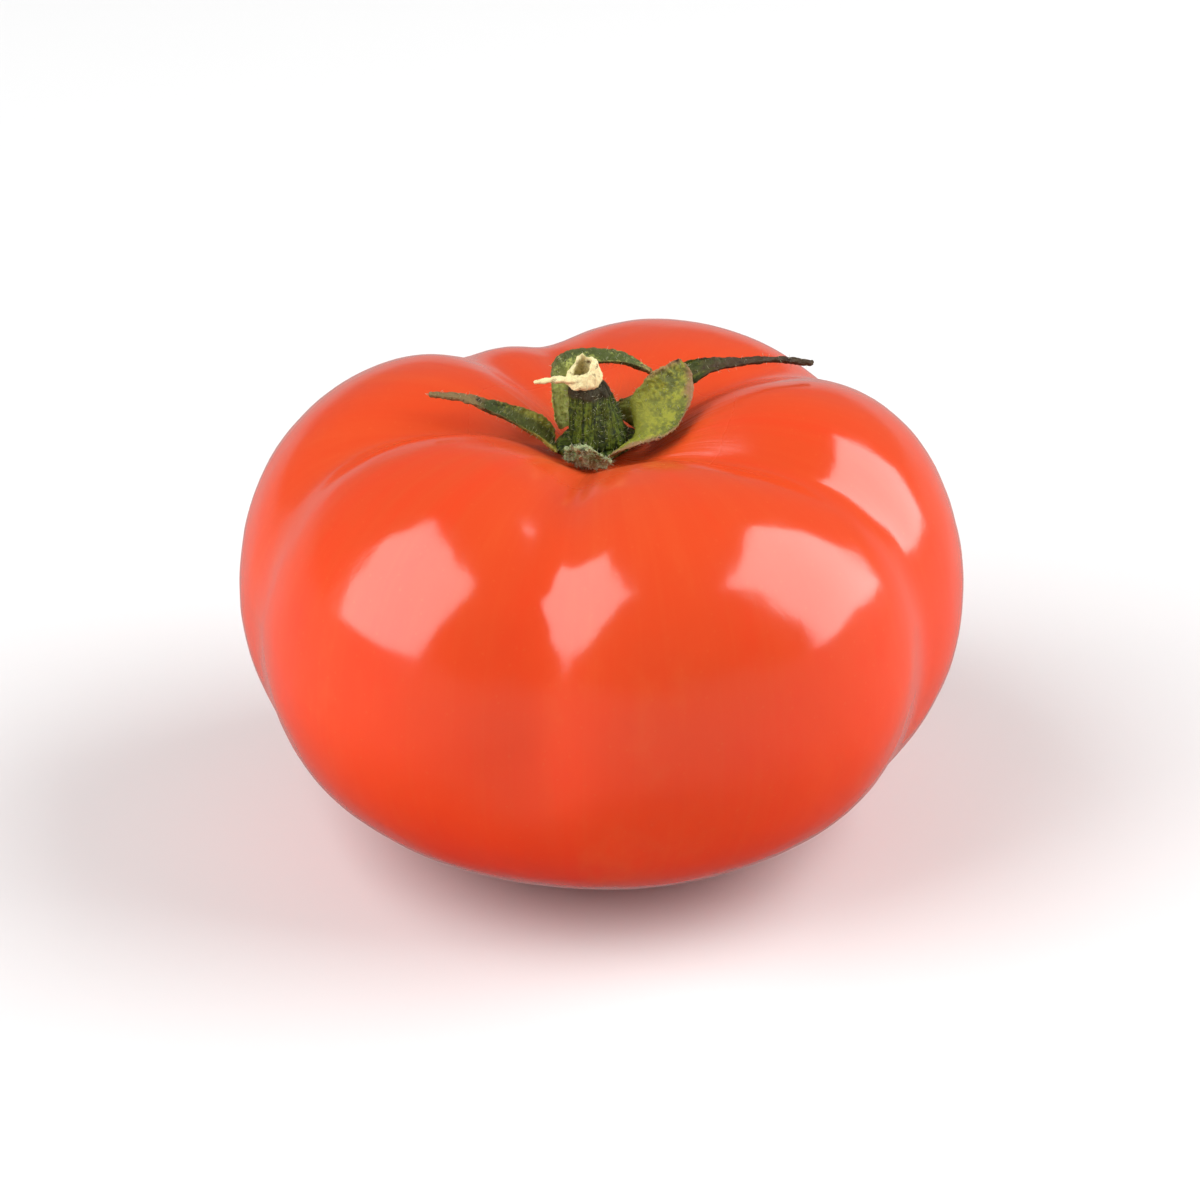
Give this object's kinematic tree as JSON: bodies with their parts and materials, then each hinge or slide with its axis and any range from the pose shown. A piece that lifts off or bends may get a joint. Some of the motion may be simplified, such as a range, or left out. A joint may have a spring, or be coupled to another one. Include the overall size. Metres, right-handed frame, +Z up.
{
  "type": "beefsteak tomato",
  "caption": "Whole ribbed round tomato with a flattened base, a star-shaped green calyx in its stem hollow and a short dried-off stem stub.",
  "frame": {"origin": "centre of the small flat underneath that the tomato rests on", "axes": "+Z up along the fruit's axis, out of the stem hollow; -Y towards the front, where a furrow runs down from the calyx; +X to the right, where the longest sepal points"},
  "size_m": [0.09, 0.089, 0.0622],
  "materials": {
    "skin": "smooth waxy orange-red skin, glossy",
    "stalk": "green stalk, finely ribbed and hairy",
    "dry_stem": "pale dried fibre, matte",
    "sepal": "green leaf with dry brown margins, matte"
  },
  "bodies": {
    "root": {"fruit": "skin", "calyx_disc": "stalk", "stem_stub": "stalk", "stem_dry_end": "dry_stem", "sepal_left": "sepal", "sepal_right": "sepal", "sepal_front_right": "sepal", "sepal_back": "sepal", "sepal_front": "sepal"}
  },
  "joints": []
}
